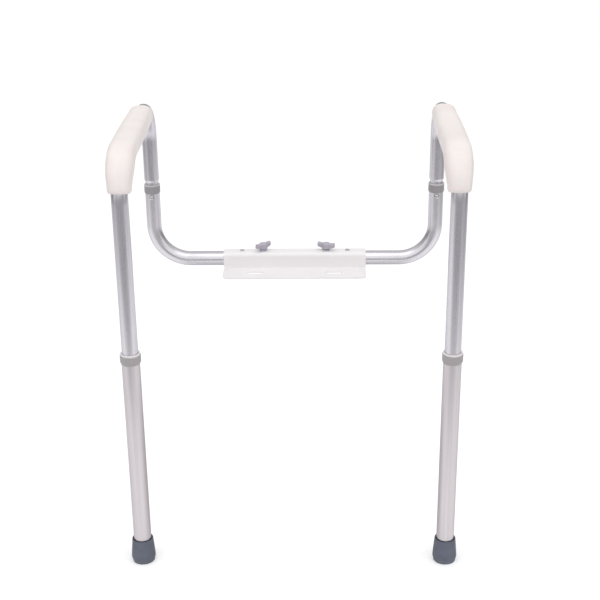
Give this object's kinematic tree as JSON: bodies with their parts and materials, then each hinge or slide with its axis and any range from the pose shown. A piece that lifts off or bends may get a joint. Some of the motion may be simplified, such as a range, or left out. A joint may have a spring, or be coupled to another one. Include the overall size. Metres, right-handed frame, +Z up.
{
  "type": "toilet safety frame",
  "caption": "Support frame for a toilet: two arms with moulded rests on telescopic legs with rubber tips, joined behind the seat by a slotted steel bracket that clamps both rear tubes.",
  "frame": {"origin": "middle of the seat-bolt line, on the underside of the mounting plate", "axes": "+Z up, +Y to the back, towards the cistern; +X to the right of somebody who faces the frame from the front"},
  "size_m": [0.543, 0.3842, 0.7035],
  "materials": {
    "white_steel": "smooth white powder coat",
    "zinc_steel": "bright zinc plate",
    "spring_steel": "plain spring steel",
    "button_metal": "nickel plate",
    "anodised_tube": "satin clear anodised, drawn along the tube",
    "satin_leg": "paler matt anodised",
    "collar_plastic": "moulded, mid grey",
    "foot_rubber": "moulded, blue-grey",
    "armrest_plastic": "moulded, warm white, fine grain",
    "knob_plastic": "moulded, grey",
    "nylon": "natural nylon"
  },
  "bodies": {
    "bracket": {"mounting_plate": "white_steel", "bracket_channel": "white_steel", "clamp_nuts": "zinc_steel", "guide_screws": "zinc_steel"},
    "side_left": {"rear_tube_left": "anodised_tube", "rear_collar_left": "collar_plastic", "arm_tube_left": "anodised_tube", "armrest_left": "armrest_plastic", "armrest_screws_left": "zinc_steel", "front_clip_left": "spring_steel", "rear_clip_left": "spring_steel"},
    "leg_left": {"front_leg_left": "satin_leg", "front_collar_left": "collar_plastic", "foot_left": "foot_rubber", "foot_washer_left": "zinc_steel"},
    "front_button_left": {"front_button_left": "button_metal"},
    "rear_button_left": {"rear_button_left": "button_metal"},
    "clamp_tip_left": {"clamp_tip_left": "nylon"},
    "thumb_screw_left": {"thumb_knob_left": "knob_plastic", "thumb_stud_left": "zinc_steel"},
    "side_right": {"rear_tube_right": "anodised_tube", "rear_collar_right": "collar_plastic", "arm_tube_right": "anodised_tube", "armrest_right": "armrest_plastic", "armrest_screws_right": "zinc_steel", "front_clip_right": "spring_steel", "rear_clip_right": "spring_steel"},
    "leg_right": {"front_leg_right": "satin_leg", "front_collar_right": "collar_plastic", "foot_right": "foot_rubber", "foot_washer_right": "zinc_steel"},
    "front_button_right": {"front_button_right": "button_metal"},
    "rear_button_right": {"rear_button_right": "button_metal"},
    "clamp_tip_right": {"clamp_tip_right": "nylon"},
    "thumb_screw_right": {"thumb_knob_right": "knob_plastic", "thumb_stud_right": "zinc_steel"}
  },
  "joints": [
    {"name": "width_left", "type": "slide", "parent": "bracket", "child": "side_left", "axis": [-1, 0, 0], "range_m": [-0.02, 0.02]},
    {"name": "leg_height_left", "type": "slide", "parent": "side_left", "child": "leg_left", "axis": [0, 0, 1], "range_m": [-0.0762, 0.0762]},
    {"name": "front_button_press_left", "type": "slide", "parent": "side_left", "child": "front_button_left", "axis": [0, -1, 0], "range_m": [0, 0.0042], "stiffness_N_per_m": 1500, "springref_m": -0.002, "deforming": ["front_clip_left"]},
    {"name": "rear_button_press_left", "type": "slide", "parent": "side_left", "child": "rear_button_left", "axis": [0, 1, 0], "range_m": [0, 0.0042], "stiffness_N_per_m": 1500, "springref_m": -0.002, "deforming": ["rear_clip_left"]},
    {"name": "clamp_lift_left", "type": "slide", "parent": "bracket", "child": "clamp_tip_left", "axis": [0, 0, 1], "range_m": [0, 0.002]},
    {"name": "thumb_turn_left", "type": "hinge", "parent": "clamp_tip_left", "child": "thumb_screw_left", "pos_m": [-0.0565, 0.04, 0.04], "axis": [0, 0, 1], "range_deg": [0, 720]},
    {"name": "width_right", "type": "slide", "parent": "bracket", "child": "side_right", "axis": [1, 0, 0], "range_m": [-0.02, 0.02]},
    {"name": "leg_height_right", "type": "slide", "parent": "side_right", "child": "leg_right", "axis": [0, 0, 1], "range_m": [-0.0762, 0.0762]},
    {"name": "front_button_press_right", "type": "slide", "parent": "side_right", "child": "front_button_right", "axis": [0, -1, 0], "range_m": [0, 0.0042], "stiffness_N_per_m": 1500, "springref_m": -0.002, "deforming": ["front_clip_right"]},
    {"name": "rear_button_press_right", "type": "slide", "parent": "side_right", "child": "rear_button_right", "axis": [0, 1, 0], "range_m": [0, 0.0042], "stiffness_N_per_m": 1500, "springref_m": -0.002, "deforming": ["rear_clip_right"]},
    {"name": "clamp_lift_right", "type": "slide", "parent": "bracket", "child": "clamp_tip_right", "axis": [0, 0, 1], "range_m": [0, 0.002]},
    {"name": "thumb_turn_right", "type": "hinge", "parent": "clamp_tip_right", "child": "thumb_screw_right", "pos_m": [0.0565, 0.04, 0.04], "axis": [0, 0, 1], "range_deg": [0, 720]}
  ],
  "couplings": [
    {"joint": "thumb_turn_left", "follows": "clamp_lift_left", "rad_per_m": 6283.2},
    {"joint": "thumb_turn_right", "follows": "clamp_lift_right", "rad_per_m": 6283.2}
  ]
}
